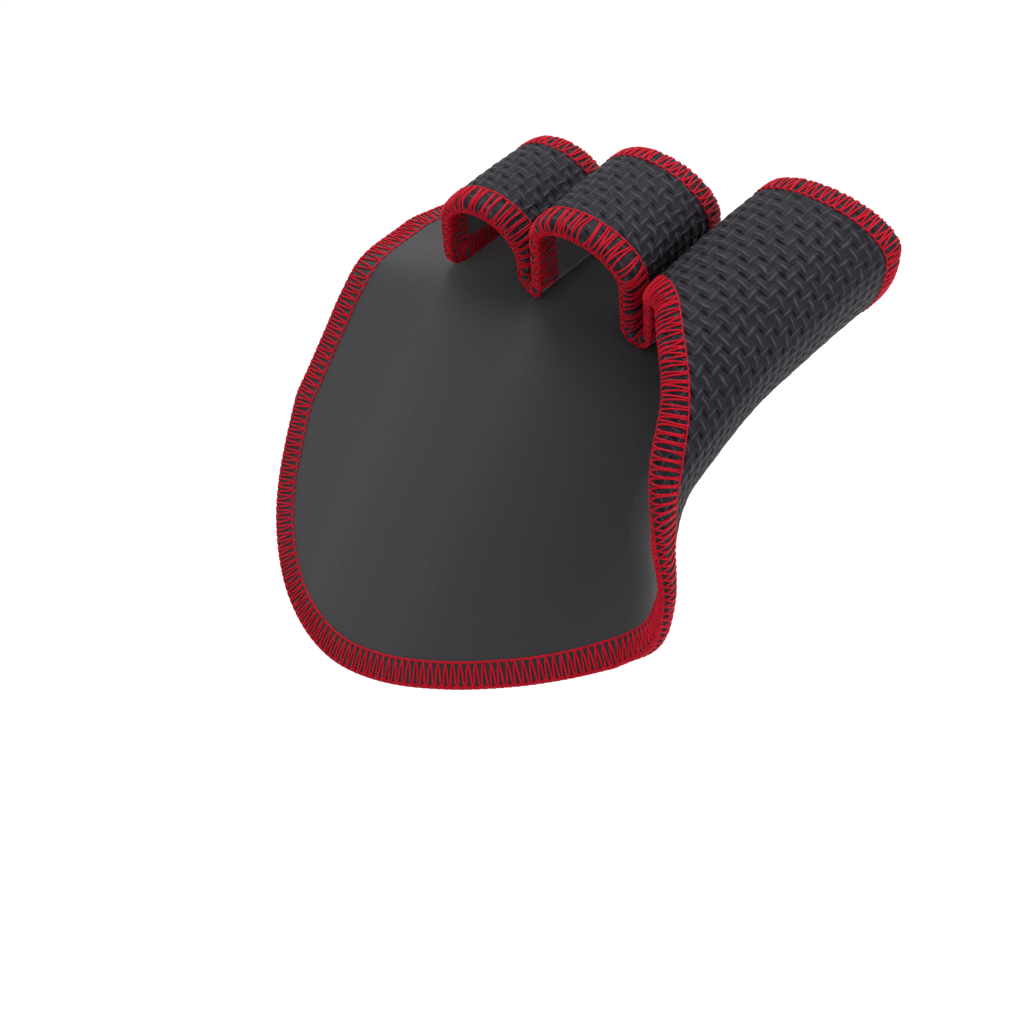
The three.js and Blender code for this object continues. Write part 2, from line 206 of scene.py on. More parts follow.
def valley(left, right, share, at):
    # the strap's walls come down between two loops, run flat on the pad and go up again
    start, end = left(at), right(at)
    tightest = (grip["sheetThickness"] + grip["valleyGap"]) / 2
    centre = (start[..., 0] + end[..., 0]) / 2
    across = np.maximum(tightest, (end[..., 0] - start[..., 0]) / 2)
    radius = tightest + (across - tightest) * grip["turnRounding"]
    turn = np.pi * share
    aside = (across - radius) * np.clip((share - 0.5) * 10, -1, 1) - radius * np.cos(turn)
    y = start[..., 1] + (end[..., 1] - start[..., 1]) * (1 + aside / across) / 2
    under = np.maximum.reduce([pad(centre + side * across, y)[..., 2] for side in (-1, 0, 1)])
    bottom = under + grip["sheetThickness"] + grip["sewGap"] + grip["threadProud"]
    return points(centre + aside, y, bottom + radius * (1 - np.sin(turn)))


def ringEnd(side):
    return lambda at: arch(ringLoop, side, at)


def middleEnd(side):
    return lambda at: arch(middleLoop, side, at)


def indexLeft(at):
    return indexTurn(180 + 0 * at, at)


def ringValley(share, at):
    return valley(ringEnd(1), middleEnd(0), share, at)


def indexValley(share, at):
    return valley(middleEnd(1), indexLeft, share, at)


def strapEnd(at):
    top = arch(ringLoop, 0, at)
    under = np.maximum.reduce([pad(top[..., 0] + dx, top[..., 1])[..., 2] for dx in (-half, 0, half)])
    foot = points(top[..., 0], top[..., 1], under + half + grip["sewGap"] + grip["threadProud"])
    reachUp = np.linalg.norm(top - foot, axis=-1)
    return foot + (top - foot) * (band / reachUp)[..., None]


def wall(lower, upper):
    def rising(share, at):
        a = lower(at)
        return a + (upper(at) - a) * np.asarray(share)[..., None]

    return rising


def padAcross(share, at):
    foot = indexFoot(at)[..., 0]
    return pad(foot + (indexLoop["x"] - grip["palmSpan"] - foot) * share, at)


# the stitched rail lies one band in from each edge, as a station along each loop
ringRail = band * strap / grip["ringStrap"]
middleRail = band * strap / grip["middleStrap"]


def indexNear(turn):
    return grip["webReach"] * along(indexRail, "turn", "near", turn)


def mixed(a, b):
    return lambda share: a + (b - a) * share


def alongOf(shape):
    return lambda share, at: arch(shape, share, at)


def valleyEnd(valleyLine, side):
    return lambda at: valleyLine(0 * at + side, at)


ringNear, middleNear = mixed(ringRail, ringRail), mixed(middleRail, middleRail)

# The section in stretches, from the strap's sewn end over the three loops and back under them along the pad
stretches = {
    "sewnWall": {"point": wall(strapEnd, ringEnd(0)), "near": ringNear},
    "ringTop": {"point": alongOf(ringLoop), "near": ringNear},
    "ringDown": {"point": wall(ringEnd(1), valleyEnd(ringValley, 0)), "near": ringNear},
    "ringValley": {"point": ringValley, "near": mixed(ringRail, middleRail)},
    "middleUp": {"point": wall(valleyEnd(ringValley, 1), middleEnd(0)), "near": middleNear},
    "middleTop": {"point": alongOf(middleLoop), "near": middleNear},
    "middleDown": {"point": wall(middleEnd(1), valleyEnd(indexValley, 0)), "near": middleNear},
    "indexValley": {"point": indexValley, "near": mixed(middleRail, band)},
    "indexUp": {"point": wall(valleyEnd(indexValley, 1), indexLeft), "near": mixed(band, band)},
    "indexTop": {
        "point": lambda share, at: indexTurn(180 * (1 - share), at),
        "near": lambda share: indexNear(180 * (1 - share)),
        "far": band,
    },
    "indexUnder": {
        "point": lambda share, at: indexTurn(-90 * share, at),
        "near": lambda share: indexNear(-90 * share),
        "far": band,
    },
    "pad": {"point": padAcross},
}
measured = np.linspace(0, 1, 81)  # each stretch is measured half way along the index loop
runLength = 0.0
for stretch in stretches.values():
    line = stretch["point"](measured, np.full_like(measured, strap / 2))
    stretch["from"] = runLength
    stretch["length"] = float(np.linalg.norm(np.diff(line, axis=0), axis=1).sum())
    runLength += stretch["length"]
starts = [stretch["from"] for stretch in stretches.values()]
padStart = starts[-1]


def stretchesAt(run):
    # each stretch with the runs on it; the first and the last go on past the sheet's ends
    number = np.searchsorted(starts[1:], run, side="right")
    return [(stretch, number == k) for k, stretch in enumerate(stretches.values())]


def surface(run, at):
    # the sheet's middle surface, run millimetres round the section, at a station along the loops
    run, at = np.broadcast_arrays(np.asarray(run, float), np.asarray(at, float))
    out = np.zeros(run.shape + (3,))
    for stretch, here in stretchesAt(run):
        if here.any():
            share = (run[here] - stretch["from"]) / stretch["length"]
            out[here] = stretch["point"](share, at[here])
    return out


def frameAt(run, at):
    step = 0.2
    alongRun = (surface(run + step, at) - surface(run - step, at)) / (2 * step)
    alongHand = (surface(run, at + step) - surface(run, at - step)) / (2 * step)
    normal = np.cross(alongRun, alongHand)
    return alongRun, alongHand, normal / np.linalg.norm(normal, axis=-1, keepdims=True)


# the frame's origin is the inner face at the top of the middle loop
seatRun = stretches["middleTop"]["from"] + stretches["middleTop"]["length"] / 2
seat = surface(seatRun, strap / 2) - half * frameAt(np.array(seatRun), np.array(strap / 2))[2]


def railPlaces(run):
    # the stitched rail's two crossings of each column: places as (run, at) on the near and far sides
    run = np.asarray(run, float)
    near = np.stack([run, run], -1)
    far = near.copy()
    for stretch, here in stretchesAt(run):
        share = (run[here] - stretch["from"]) / stretch["length"]
        if "near" in stretch:
            near[here, 1] = stretch["near"](share)
            far[here, 1] = strap - stretch.get("far", near[here, 1])
        else:
            for side, across, station, scale in (
                (near, "nearAcross", "near", grip["palmReach"]),
                (far, "farAcross", "far", strap),
            ):
                side[here, 0] = stretch["from"] + stretch["length"] * along(padRail, "part", across, share)
                side[here, 1] = scale * along(padRail, "part", station, share)
    return near, far


def outward(places, ways, straightUntil):
    # the way out of the sheet at right angles to the rail, per millimetre, as (run, at)
    alongRun, alongHand, normal = frameAt(places[..., 0], places[..., 1])
    way = alongRun * ways[..., :1] + alongHand * ways[..., 1:]
    side = np.cross(way, normal)
    side /= np.linalg.norm(side, axis=-1, keepdims=True)
    pairs = ((alongRun, alongRun), (alongRun, alongHand), (alongHand, alongHand))
    rr, rh, hh = (np.sum(a * b, -1) for a, b in pairs)
    mr, mh = np.sum(side * alongRun, -1), np.sum(side * alongHand, -1)
    scale = rr * hh - rh * rh
    out = np.stack([(mr * hh - mh * rh) / scale, (mh * rr - mr * rh) / scale], -1)
    straight = places[:, 0] < straightUntil  # on the loops the band runs straight along them
    out[straight] = np.stack([0 * mh, 1 / np.where(straight, mh, 1)], -1)[straight]
    for _ in range(3):  # on a curve the band's width takes a few tries
        edge = places + out * band
        across = surface(edge[:, 0], edge[:, 1]) - surface(places[:, 0], places[:, 1])
        out *= (band / np.linalg.norm(across, axis=1))[:, None]
    return out


def smoothed(ways, cells):
    # evens out what changes along a rail, over three times cells each way
    far = 3 * cells
    bell = np.exp(-0.5 * (np.arange(-far, far + 1) / cells) ** 2)
    padded = np.pad(ways, ((far, far), (0, 0)), mode="edge")
    return np.stack([np.convolve(padded[:, k], bell / bell.sum(), "valid") for k in (0, 1)], -1)


print("surface: strap and pad are", round(runLength, 1), "mm round the section")

# The stitched rail as one closed line: near edge, pad's free side, far edge, strap's sewn end
railCells = {"columns": 1500, "ends": 120, "cornerTurn": 14, "evened": 14}
runs = np.linspace(0, runLength, railCells["columns"])
nearRail, farRail = railPlaces(runs)


def sideOf(places, straightUntil=-np.inf):
    ways = np.gradient(places, axis=0)
    return places, smoothed(outward(places, ways, straightUntil), railCells["evened"])


def between(a, b):
    share = np.linspace(0, 1, railCells["ends"])[:, None]
    return a + (b - a) * share


sides = [
    sideOf(nearRail, stretches["indexTop"]["from"]),
    sideOf(between(nearRail[-1], farRail[-1])),
    sideOf(farRail[::-1], stretches["indexTop"]["from"]),
    sideOf(between(farRail[0], nearRail[0])),
]


def swing(place, wayA, wayB, share):
    # turns one way out into the other at a steady rate, as the thread fans round a corner
    alongRun, alongHand, _ = frameAt(place[:, 0], place[:, 1])
    a, b = (alongRun * way[:, :1] + alongHand * way[:, 1:] for way in (wayA, wayB))
    cosine = np.sum(a * b, 1) / np.linalg.norm(a, axis=1) / np.linalg.norm(b, axis=1)
    angle = np.maximum(np.arccos(np.clip(cosine, -1, 1)), 0.02)[:, None]
    return (wayA * np.sin((1 - share) * angle) + wayB * np.sin(share * angle)) / np.sin(angle)


railPlace, railWay = [], []
for k, (places, ways) in enumerate(sides):
    nextWays = sides[(k + 1) % 4][1]
    share = np.linspace(0, 1, railCells["cornerTurn"])[1:-1, None]
    corner = np.repeat(places[-1:], len(share), 0)
    railPlace += [places, corner]
    railWay += [ways, swing(corner, ways[-1:] + 0 * corner, nextWays[:1] + 0 * corner, share)]
railPlace, railWay = np.concatenate(railPlace), np.concatenate(railWay)


def edgePoints(place, way, distance, height):
    there = place + way * np.asarray(distance)[..., None]
    normal = frameAt(there[..., 0], there[..., 1])[2]
    return surface(there[..., 0], there[..., 1]) + normal * np.asarray(height)[..., None] - seat


# stitches are counted by the length half way over the band
everywhere = np.ones(len(railPlace))
bandMiddle = edgePoints(railPlace, railWay, everywhere * (band * 0.5), everywhere * half)
stepLength = np.linalg.norm(np.roll(bandMiddle, -1, 0) - bandMiddle, axis=1)
railLength = float(stepLength.sum())
print("overlock: the stitched edge is", round(railLength), "mm long")

# Embossed weave: cells of a plain weave, skewed as the roller printed them, in millimetres round and along
weave = {"cellRound": (2.05, -0.45), "cellAlong": (0.0, 2.6), "relief": 0.3, "lower": 0.7, "fall": 0.9}

# true lengths across the sheet from the strap's middle, so that the cells keep their size where it flares
flare = {"beyond": 10, "near": -1.15 * grip["palmReach"], "far": 1.4 * strap, "runs": 400, "stations": 150}
flareRuns = np.linspace(-flare["beyond"], runLength + flare["beyond"], flare["runs"])
flareStations = np.linspace(flare["near"], flare["far"], flare["stations"])
flareLines = surface(flareRuns[:, None], flareStations[None, :])
flareLengths = np.linalg.norm(np.diff(flareLines, axis=1), axis=2).cumsum(1)
flareLengths = np.pad(flareLengths, ((0, 0), (1, 0)))
middleStation = np.searchsorted(flareStations, strap / 2)
flareLengths += strap / 2 - flareLengths[:, middleStation : middleStation + 1]


def trueStation(run, at):
    i = np.interp(run, flareRuns, np.arange(len(flareRuns)))
    j = np.interp(at, flareStations, np.arange(len(flareStations)))
    i0 = np.minimum(i.astype(int), len(flareRuns) - 2)
    j0 = np.minimum(j.astype(int), len(flareStations) - 2)
    fi, fj = i - i0, j - j0
    low = flareLengths[i0, j0] * (1 - fi) + flareLengths[i0 + 1, j0] * fi
    high = flareLengths[i0, j0 + 1] * (1 - fi) + flareLengths[i0 + 1, j0 + 1] * fi
    return low * (1 - fj) + high * fj


def weaveCells(run, at):
    (a, b), (c, d) = weave["cellRound"], weave["cellAlong"]
    at = trueStation(run, at)
    size = a * d - b * c
    return (d * run - c * at) / size, (a * at - b * run) / size


def weaveHeight(run, at):
    # cords round the loops lie over those along them in every other cell, from about -0.5 to 0.5
    u, v = weaveCells(run, at)
    fu, fv = u - np.floor(u), v - np.floor(v)
    over = np.where((np.floor(u) + np.floor(v)) % 2 < 0.5, 1, -1)
    roundCord = over * np.sin(np.pi * fu) - weave["fall"] * (2 * fv - 1) ** 2
    alongCord = -over * weave["lower"] * np.sin(np.pi * fv) - weave["fall"] * (2 * fu - 1) ** 2
    return np.maximum(np.maximum(roundCord, alongCord), -weave["fall"]) / (1 + weave["fall"])


# The sheet: one grid over strap and pad, its band rows and columns running out to the cut edge
sheet = {
    "strapCells": 330,
    "padCells": 132,
    "rows": 76,
    "distance": [0, 0.6, 1.4, 2.2, 3.1, 3.9, 4.5, 4.85, 5.06],  # from the rail to the cut edge
    "outer": [1.5, 1.47, 1.45, 1.44, 1.39, 1.2, 0.87, 0.46, -0.1],  # the cut edge drawn round by the thread
    "inner": [1.5, 1.46, 1.43, 1.43, 1.43, 1.41, 1.34, 1.1, 0.6],
    "embossStart": 0.3,  # share of the emboss that each cell in from the rail adds
}


def waysAt(wanted, known, ways):
    return np.stack([np.interp(wanted, known, ways[:, k]) for k in (0, 1)], -1)


def makeSheet():
    width = sheet["distance"][-1]
    n = len(sheet["distance"]) - 1
    strapRuns = np.linspace(0, padStart, sheet["strapCells"] + 1)
    padRuns = np.linspace(padStart, runLength, sheet["padCells"] + 1)[1:]
    columnRuns = np.concatenate([strapRuns, padRuns])
    near, far = railPlaces(columnRuns)
    last, rows = len(columnRuns) - 1, sheet["rows"]
    rowShare = np.linspace(0, 1, rows + 1)
    nearWay = waysAt(columnRuns, runs, sides[0][1])
    farWay = waysAt(columnRuns, runs, sides[2][1][::-1])
    endShare = np.linspace(0, 1, railCells["ends"])
    startWay = waysAt(rowShare, endShare, sides[3][1][::-1])
    padWay = waysAt(rowShare, endShare, sides[1][1])

    # columns and rows of the band count on below 0 and past the last
    bm = bmesh.new()
    bmesh.ops.create_grid(bm, x_segments=last + 2 * n, y_segments=rows + 2 * n, size=1)
    grid = np.array([v.co[:2] for v in bm.verts])
    i = np.rint((grid[:, 0] + 1) / 2 * (last + 2 * n)).astype(int) - n
    j = np.rint((grid[:, 1] + 1) / 2 * (rows + 2 * n)).astype(int) - n
    a, b = np.clip(i, 0, last), np.clip(j, 0, rows)
    out = np.array(sheet["distance"]) / width
    di = out[np.where(i < 0, -i, np.maximum(i - last, 0))]
    dj = out[np.where(j < 0, -j, np.maximum(j - rows, 0))]
    # the band's square corner cells are drawn round
    roundI, roundJ = di * np.sqrt(1 - dj * dj / 2), dj * np.sqrt(1 - di * di / 2)
    place = near[a] + (far[a] - near[a]) * (b / rows)[:, None]
    wayI = np.where((i < 0)[:, None], startWay[b], padWay[b])
    wayJ = np.where((j < 0)[:, None], nearWay[a], farWay[a])
    fan = np.arctan2(roundJ, roundI)[:, None] / (np.pi / 2)
    away = np.hypot(roundI, roundJ) * width
    place = place + swing(place, wayI, wayJ, fan) * away[:, None]
    outerHalf = np.interp(away, sheet["distance"], sheet["outer"])
    innerHalf = np.interp(away, sheet["distance"], sheet["inner"])

    # how deep the emboss is: pressed flat under the stitches
    inside = np.minimum.reduce([i, last - i, j, rows - j])
    depth = np.where(away > 0, 0.0, np.clip(inside * sheet["embossStart"], 0, 1))
    run, at = place[:, 0], place[:, 1]
    normal = frameAt(run, at)[2]
    middle = surface(run, at) - seat
    outer = middle + normal * (outerHalf + weaveHeight(run, at) * weave["relief"] * depth)[:, None]
    inner = middle - normal * innerHalf[:, None]
    u, v = weaveCells(run, at)

    number = bm.verts.layers.int.new("number")
    for k, vert in enumerate(bm.verts):
        vert[number] = k
    wall = bmesh.ops.extrude_face_region(bm, geom=bm.faces[:])
    lifted = {g for g in wall["geom"] if isinstance(g, bmesh.types.BMVert)}
    for vert in bm.verts:
        vert.co = Vector((outer if vert in lifted else inner)[vert[number]]) * mm
    uv = bm.loops.layers.uv.new("weave")
    for face in bm.faces:
        face.smooth = True
        raised = [vert in lifted for vert in face.verts]
        face.material_index = 0 if all(raised) else 2 if any(raised) else 1
        for corner in face.loops:
            k = corner.vert[number]
            corner[uv].uv = (u[k], v[k])
    bmesh.ops.recalc_face_normals(bm, faces=bm.faces[:])
    mesh = bpy.data.meshes.new("gripSheet")
    bm.to_mesh(mesh)
    bm.free()
    flatArea = sum(p.area for p in mesh.polygons if p.material_index == 1)
    return mesh, flatArea


def addPiece(name, mesh, materials, replaced=()):
    piece = bpy.data.objects.new(name, mesh)
    bpy.context.collection.objects.link(piece)
    for material in materials:
        piece.data.materials.append(material)
    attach(piece, "root")
    if replaced:
        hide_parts(*replaced)
    return piece


# Materials
class Maths:
    # a value socket that adds Math nodes to its tree as it is worked on
    def __init__(self, nodes, socket):
        self.nodes, self.socket = nodes, socket

    def math(self, operation, *others):
        return self.nodes.add("ShaderNodeMath", {"operation": operation}, dict(enumerate((self, *others))))

    def __add__(self, other):
        return self.math("ADD", other)

    def __sub__(self, other):
        return self.math("SUBTRACT", other)

    def __rsub__(self, other):
        return self.nodes.add("ShaderNodeMath", {"operation": "SUBTRACT"}, {0: other, 1: self})

    def __mul__(self, other):
        return self.math("MULTIPLY", other)

    def __pow__(self, other):
        return self.math("POWER", other)

    __radd__, __rmul__ = __add__, __mul__


class Nodes:
    def __init__(self, name):
        self.material = bpy.data.materials.new(name)
        self.material.use_nodes = True
        self.tree = self.material.node_tree
        self.shader = self.tree.nodes["Principled BSDF"]

    def add(self, kind, settings=None, inputs=None, output=0):
        node = self.tree.nodes.new(kind)
        for key, value in (settings or {}).items():
            setattr(node, key, value)
        self.feed(node, inputs or {})
        return Maths(self, node.outputs[output])

    def feed(self, node, inputs):
        for key, value in inputs.items():
            if isinstance(value, Maths):
                self.tree.links.new(value.socket, node.inputs[key])
            else:
                node.inputs[key].default_value = value

    def uvParts(self, name):
        uv = self.add("ShaderNodeUVMap", {"uv_map": name})
        first = self.add("ShaderNodeSeparateXYZ", {}, {0: uv})
        return first, Maths(self, first.socket.node.outputs[1])

    def mixColours(self, share, a, b):
        return self.add("ShaderNodeMix", {"data_type": "RGBA"}, {0: share, 6: a, 7: b}, output=2)

    def place(self):
        return self.add("ShaderNodeTexCoord", output=3)  # Object coordinates, in metres

    def noise(self, scale, detail):
        inputs = {"Vector": self.place(), "Scale": scale, "Detail": detail}
        return self.add("ShaderNodeTexNoise", {}, inputs)

    def bump(self, height, look):
        inputs = {"Strength": look["strength"], "Distance": look["relief"], "Height": height}
        self.feed(self.shader, {"Normal": self.add("ShaderNodeBump", {}, inputs)})


# Looks: noise is given as scale and detail, relief in metres
neoprene = {
    "top": (0.0155, 0.0135, 0.019, 1),
    "low": (0.0078, 0.007, 0.0098, 1),
    # painted highlight: a lighter colour laid on the cords' raised lines, where light catches the ridges
    "paintedHighlight": (0.064, 0.058, 0.074, 1),
    # painted shade: the near black laid into the slits, where the recesses would be shaded
    "paintedSlitShade": (0.004, 0.004, 0.005, 1),
    "grain": (5200.0, 3.0),
    "patches": (90.0, 3.0),
    "wanderRound": (150.0, 2.0),
    "wanderAlong": (190.0, 2.0),
    "wander": 0.8,  # how far a cell is drawn out here and there, in cells
    "line": 3.1,  # how thin the raised line is
    "lineFade": 0.35,
    "lineAlong": 0.85,
    "ends": 1.8,
    "slit": (0.8, 0.17),  # its length and width, in cells
    "slitLeast": 0.05,
    "slitPatches": 1.6,
    "slitShadeRamp": (1.6, 0.92),  # how fast the painted shade darkens a slit with its depth, and how far
    "patchTint": (1.4, 0.2),  # how far the two tints stand apart in patches
    # the painted highlight's least share on the raised lines, before the patches add to it
    "paintedHighlightLeast": 0.45,
    "roughness": 0.5,
    "grainRough": 0.16,
    "slitRough": 0.2,
    "specular": 0.16,
    "emboss": {"cords": 0.35, "line": 0.8, "slit": 1.1, "grain": 0.14},
    "embossPatches": (1.2, 0.4),  # what the patches add to the emboss, and its least
    "relief": 0.00035,
    "strength": 0.9,
}


def neopreneMaterial():
    m = Nodes("embossedNeoprene")
    u, v = m.uvParts("weave")
    wander, emboss = neoprene["wander"], neoprene["emboss"]
    u = u + m.noise(*neoprene["wanderRound"]) * wander - wander / 2
    v = v + m.noise(*neoprene["wanderAlong"]) * wander - wander / 2
    fu, fv = u.math("FRACT"), v.math("FRACT")
    odd = (u.math("FLOOR") + v.math("FLOOR")).math("FLOORED_MODULO", 2.0)
    over = 1 - 2 * odd
    arcU, arcV = (fu * math.pi).math("SINE"), (fv * math.pi).math("SINE")
    acrossRound, acrossAlong = (2 * fv - 1).math("ABSOLUTE"), (2 * fu - 1).math("ABSOLUTE")
    roundCord = over * arcU - acrossRound**2 * weave["fall"]
    alongCord = over * arcV * -weave["lower"] - acrossAlong**2 * weave["fall"]
    cords = roundCord.math("MAXIMUM", alongCord).math("MAXIMUM", -weave["fall"])
    # thin raised line along each cord's back, and a slit where two cords dive at every other corner
    endU, endV = 1 - arcU * neoprene["ends"], 1 - arcV * neoprene["ends"]
    onCord, underCord = arcU ** neoprene["lineFade"] * (1 - odd), endU.math("MAXIMUM", 0.0) * odd
    roundLine = (1 - acrossRound * neoprene["line"]).math("MAXIMUM", 0.0) * (onCord + underCord)
    onCord, underCord = arcV ** neoprene["lineFade"] * odd, endV.math("MAXIMUM", 0.0) * (1 - odd)
    alongLine = (1 - acrossAlong * neoprene["line"]).math("MAXIMUM", 0.0) * (onCord + underCord)
    line = roundLine + alongLine * neoprene["lineAlong"]
    turned = fv * odd + (1 - fv) * (1 - odd)
    slitRound, slitAlong = neoprene["slit"]
    slitA = 1 - fu * (1 / slitRound) - turned * (1 / slitAlong)
    slitB = 1 - (1 - fu) * (1 / slitRound) - (1 - turned) * (1 / slitAlong)
    grain = m.noise(*neoprene["grain"])
    patches = m.noise(*neoprene["patches"])
    slitDepth = neoprene["slitLeast"] + patches * neoprene["slitPatches"]
    slit = slitA.math("MAXIMUM", slitB).math("MAXIMUM", 0.0) * slitDepth
    tintSpread, tintDrop = neoprene["patchTint"]
    topShare = (patches * tintSpread - tintDrop).math("MINIMUM", 1.0)
    # painted highlight: the raised lines are coloured lighter, more in some patches
    paintedHighlightShare = (line * (patches + neoprene["paintedHighlightLeast"])).math("MINIMUM", 1.0)
    slitShadeRamp, darkest = neoprene["slitShadeRamp"]
    tint = m.mixColours(topShare, neoprene["low"], neoprene["top"])
    tint = m.mixColours(paintedHighlightShare, tint, neoprene["paintedHighlight"])
    # painted shade: the slits are darkened in colour with their depth, standing in for their shadow
    tint = m.mixColours((slit * slitShadeRamp).math("MINIMUM", darkest), tint, neoprene["paintedSlitShade"])
    rough = grain * neoprene["grainRough"] + slit * neoprene["slitRough"]
    m.feed(m.shader, {
        "Base Color": tint,
        "Roughness": rough + neoprene["roughness"],
        "Specular IOR Level": neoprene["specular"],
    })
    height = cords * emboss["cords"] + line * emboss["line"] - slit * emboss["slit"]
    patchRelief, leastRelief = neoprene["embossPatches"]
    m.bump(height * (patches * patchRelief + leastRelief) + grain * emboss["grain"], neoprene)
    return m.material


lining = {
    "dark": (0.009, 0.009, 0.011, 1),
    "bright": (0.022, 0.021, 0.026, 1),
    "knit": {"Scale": 520.0, "Distortion": 3.0, "Detail": 1.0},
    "grain": (3000.0, 2.0),
    "knitRelief": 0.5,
    "roughness": 0.75,
    "grainRough": 0.15,
    "sheen": 0.25,
    "relief": 0.00012,
    "strength": 0.6,
}


def liningMaterial():
    m = Nodes("plainLining")
    knit = m.add("ShaderNodeTexWave", {"wave_type": "BANDS"}, {"Vector": m.place(), **lining["knit"]})
    grain = m.noise(*lining["grain"])
    m.feed(m.shader, {
        "Base Color": m.mixColours(grain, lining["dark"], lining["bright"]),
        "Roughness": grain * lining["grainRough"] + lining["roughness"],
        "Sheen Weight": lining["sheen"],
    })
    m.bump(knit * lining["knitRelief"] + grain, lining)
    return m.material


foam = {
    "dark": (0.006, 0.006, 0.007, 1),
    "bright": (0.02, 0.02, 0.022, 1),
    "cells": 2600.0,
    "roughness": 0.85,
    "relief": 0.00015,
    "strength": 0.8,
}


def foamMaterial():
    m = Nodes("foamCore")
    cells = m.add("ShaderNodeTexVoronoi", {}, {"Vector": m.place(), "Scale": foam["cells"]})
    tint = m.mixColours(cells, foam["dark"], foam["bright"])
    m.feed(m.shader, {"Base Color": tint, "Roughness": foam["roughness"]})
    m.bump(cells, foam)
    return m.material


# what all the thread shares, and the two threads' own colours and roughness
twist = {
    "plies": 3,
    "turn": 1.35,  # millimetres for one turn of a ply
    "paintedGrooveShade": 0.55,  # painted shade: how dark the colour is made between plies
    "paintedPlyHighlight": 1.06,  # painted highlight: how bright the colour is made on the plies' backs
    "roundness": 0.6,
    "fibres": (5200.0, 3.0),
    "fibreTint": 0.7,
    "fibreRough": 0.2,
    "fibreRelief": 0.4,
    "drift": (420.0, 2.0),
    "driftTint": 0.5,
    "tintDrop": 0.02,
    "specular": 0.14,
    "relief": 0.00011,
    "strength": 0.9,
}
red = {"dark": (0.13, 0.0002, 0.003, 1), "bright": (0.85, 0.003, 0.03, 1), "roughness": 0.35}
black = {"dark": (0.006, 0.006, 0.007, 1), "bright": (0.03, 0.03, 0.034, 1), "roughness": 0.45}


def threadMaterial(name, look):
    m = Nodes(name)
    lengthAlong, shareRound = m.uvParts("twist")
    turns = lengthAlong * (1 / twist["turn"]) + shareRound
    wave = (turns * (math.pi * twist["plies"])).math("SINE")
    ply = wave.math("ABSOLUTE") ** twist["roundness"]
    fibres = m.noise(*twist["fibres"])
    drift = m.noise(*twist["drift"])
    share = fibres * twist["fibreTint"] + drift * twist["driftTint"] - twist["tintDrop"]
    # painted shade between the plies and a painted highlight on their backs, following the twist
    share = share * (ply * twist["paintedGrooveShade"] + (twist["paintedPlyHighlight"] - twist["paintedGrooveShade"]))
    m.feed(m.shader, {
        "Base Color": m.mixColours(share.math("MINIMUM", 1.0), look["dark"], look["bright"]),
        "Roughness": fibres * twist["fibreRough"] + look["roughness"],
        "Specular IOR Level": twist["specular"],
    })
    m.bump(ply + fibres * twist["fibreRelief"], twist)
    return m.material


neopreneLook, liningLook, foamLook = neopreneMaterial(), liningMaterial(), foamMaterial()
redThread, blackThread = threadMaterial("redThread", red), threadMaterial("blackThread", black)

sheetMesh, flatArea = makeSheet()
sheetLooks = [neopreneLook, liningLook, foamLook]
gripSheet = addPiece("gripSheet", sheetMesh, sheetLooks, ["grip_sheet"])
print("sheet:", len(sheetMesh.polygons), "faces, flat area", round(flatArea * 1e6), "mm2")

# The overlock: stitches counted along the rail, close together on the near edge of the index loop's top and
# wide apart on that of the middle loop. Jitter and lean are in stitches, lengths in millimetres.
stitch = {
    "radius": 0.22,
    "sides": 1,
    "pitch": 1.65,
    "wide": 2.0,
    "close": 1.3,
    "jitter": 0.1,
    "lean": 0.26,
    "slack": 0.02,
    "steadyRungs": 0.6,  # how much less the rungs jitter
    "zigzag": (0.75, 0.2),  # how far pairs and zigzag part along the edge, and the least of zigzag
    "loose": 0.5,  # how much the two mix from one stitch to the next
    "neighbours": (0.3, 0.4, 0.3),
    "rungsBegin": (2, 14),  # these three from the index loop's top, in millimetres
    "zigzagBegins": (-12, -2),
    "closeEnds": (-10, 0),
    "seed": 7,
}
dice = np.random.default_rng(stitch["seed"])
railRun, railAt = railPlace[:, 0], railPlace[:, 1]
indexCrest = stretches["indexTop"]["from"] + stretches["indexTop"]["length"] / 2


def blend(value, low, high):
    t = np.clip((value - low) / (high - low), 0, 1)
    return t * t * (3 - 2 * t)


def overStretch(name):
    # from 0 before a stretch of the section to 1 after it
    start = stretches[name]["from"]
    return blend(railRun, start, start + stretches[name]["length"])


def nearCrest(name):
    first, last = stitch[name]
    return blend(railRun, indexCrest + first, indexCrest + last)


# three ways that the thread's loops lie: in pairs, zigzag, or as rungs with open mesh on the cut edge
onNear = (railAt < strap / 2).astype(float)
rungShare = onNear * nearCrest("rungsBegin")
zigzagShare = 1 - onNear + onNear * nearCrest("zigzagBegins")
zigzagShare = np.clip(zigzagShare, 0, 1) * (1 - rungShare)
onIndexTop = onNear * np.clip(overStretch("indexUp") - nearCrest("closeEnds"), 0, 1)
onMiddle = onNear * np.clip(overStretch("middleUp") - overStretch("middleDown"), 0, 1)
pitch = stitch["pitch"] + (stitch["close"] - stitch["pitch"]) * onIndexTop
pitch = pitch + (stitch["wide"] - stitch["pitch"]) * onMiddle

phase = np.concatenate([[0], np.cumsum(stepLength / pitch)])
stitchCount = int(round(phase[-1]))
phase *= stitchCount / phase[-1]
closedPlace = np.concatenate([railPlace, railPlace[:1]])
closedWay = np.concatenate([railWay, railWay[:1]])
closedRungs = np.concatenate([rungShare, rungShare[:1]])
closedZigzag = np.concatenate([zigzagShare, zigzagShare[:1]])


def threadPoints(at, distance, height):
    at = at % stitchCount
    place = np.stack([np.interp(at, phase, closedPlace[:, k]) for k in (0, 1)], -1)
    way = np.stack([np.interp(at, phase, closedWay[:, k]) for k in (0, 1)], -1)
    return edgePoints(place, way, distance, height)


